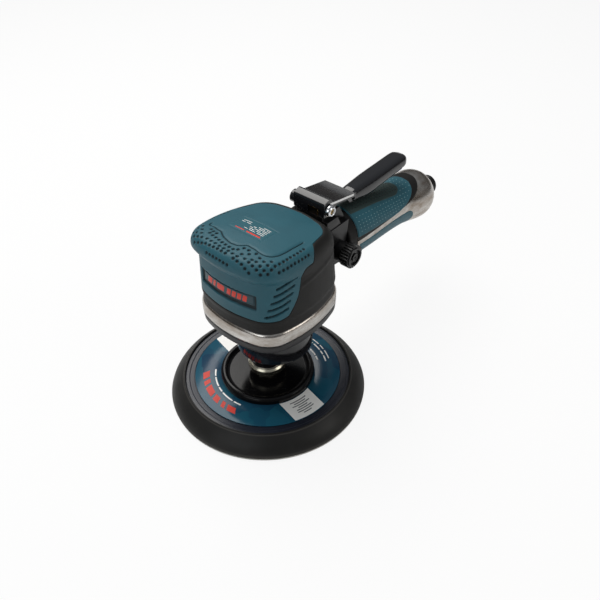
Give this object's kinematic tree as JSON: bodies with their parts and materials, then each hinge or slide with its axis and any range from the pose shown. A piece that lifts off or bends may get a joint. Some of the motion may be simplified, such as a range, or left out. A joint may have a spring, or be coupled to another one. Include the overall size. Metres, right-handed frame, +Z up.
{
  "type": "orbital sander",
  "caption": "Air-driven dual-action orbital sander: round hook-faced pad, square motor head, lever throttle and straight grip handle with an air inlet.",
  "frame": {"origin": "on the motor axis, at the pad's sanding face", "axes": "+Z up along the motor axis, -Z out of the sanding face, +X from the head along the handle to the air inlet"},
  "size_m": [0.287, 0.15, 0.1501],
  "materials": {
    "hook_fabric": "matt",
    "pad_rubber": "satin",
    "navy_plate": "satin",
    "label_print": "gloss",
    "hub_black": "semi-gloss",
    "collar_steel": "machined",
    "bright_steel": "ground",
    "black_gloss_metal": "high gloss",
    "bearing_steel": "ground",
    "grey_iron": "machined",
    "vane_fibre": "matt",
    "dark_metal": "satin",
    "gasket_fibre": "matt",
    "seal_rubber": "matt",
    "cast_aluminium": "polished",
    "black_rubber": "soft matt",
    "teal_rubber": "soft matt",
    "badge_plastic": "gloss",
    "felt": "matt",
    "black_nylon": "satin",
    "brass": "drawn",
    "spring_steel": "bright",
    "cap_chrome": "polished",
    "screw_black": "black oxide",
    "lever_gloss": "high gloss",
    "bumper_blue": "satin",
    "patch_green": "soft matt"
  },
  "bodies": {
    "housing": {"lower_flange": "dark_metal", "flange_gasket": "gasket_fibre", "flange_screws": "dark_metal", "dust_seal": "seal_rubber", "lock_ring": "grey_iron", "motor_housing": "cast_aluminium", "lower_end_plate": "grey_iron", "lower_bearing": "bearing_steel", "motor_liner": "grey_iron", "liner_dowel": "bright_steel", "upper_end_plate": "grey_iron", "upper_bearing": "bearing_steel", "head_cover": "black_rubber", "front_shell": "teal_rubber", "badge_plate": "badge_plastic", "data_plate": "badge_plastic", "exhaust_muffler": "felt", "valve_block": "black_nylon", "valve_head": "black_nylon", "throttle_bush": "brass", "stem_seal": "seal_rubber", "valve_spring": "spring_steel", "pivot_pin": "brass", "pin_cap": "cap_chrome", "torsion_spring": "brass", "front_collar": "black_nylon", "handle_core": "cast_aluminium", "grip_sleeve": "black_rubber", "grip_panel": "teal_rubber", "grip_patch": "patch_green", "side_strips": "teal_rubber", "inlet_bushing": "black_nylon", "inlet_seal": "seal_rubber", "inlet_screen": "bright_steel"},
    "spindle": {"counterweight": "black_gloss_metal", "pad_bearings": "bearing_steel", "bearing_retainer": "bright_steel", "drive_shaft": "bright_steel", "rotor": "grey_iron", "rotor_key": "bright_steel", "vanes": "vane_fibre"},
    "pad": {"hook_face": "hook_fabric", "pad_skirt": "pad_rubber", "backing_plate": "navy_plate", "pad_label": "label_print", "pad_hub": "hub_black", "pad_spindle": "collar_steel", "spindle_washer": "bright_steel", "spindle_shield": "hub_black"},
    "lever": {"lever_hood": "black_gloss_metal", "lever_arm": "black_gloss_metal", "lever_sleeve": "lever_gloss", "lever_bumper": "bumper_blue"},
    "throttle_valve": {"throttle_stem": "bright_steel", "valve_disc": "seal_rubber"},
    "regulator": {"regulator_spool": "bright_steel", "regulator_seal": "seal_rubber", "regulator_knob": "black_nylon", "knob_screw": "screw_black"}
  },
  "joints": [
    {"name": "spindle_turn", "type": "hinge", "parent": "housing", "child": "spindle", "pos_m": [0, 0, 0.06], "axis": [0, 0, 1], "continuous": true},
    {"name": "pad_turn", "type": "hinge", "parent": "spindle", "child": "pad", "pos_m": [-0.0047, 0.00171, 0.02], "axis": [0, 0, 1], "continuous": true},
    {"name": "lever_press", "type": "hinge", "parent": "housing", "child": "lever", "pos_m": [0.04825, 0, 0.14025], "axis": [0, 1, 0], "range_deg": [0, 2.75], "stiffness_Nm_per_rad": 3, "springref_deg": -8.59, "deforming": ["torsion_spring"]},
    {"name": "throttle_slide", "type": "slide", "parent": "housing", "child": "throttle_valve", "axis": [0, 0, -1], "range_m": [0, 0.0007], "deforming": ["valve_spring"]},
    {"name": "regulator_turn", "type": "hinge", "parent": "housing", "child": "regulator", "pos_m": [0.05646, 0, 0.10377], "axis": [0, -1, 0], "range_deg": [0, 270]}
  ],
  "couplings": [
    {"joint": "throttle_slide", "follows": "lever_press", "m_per_rad": 0.01325}
  ]
}
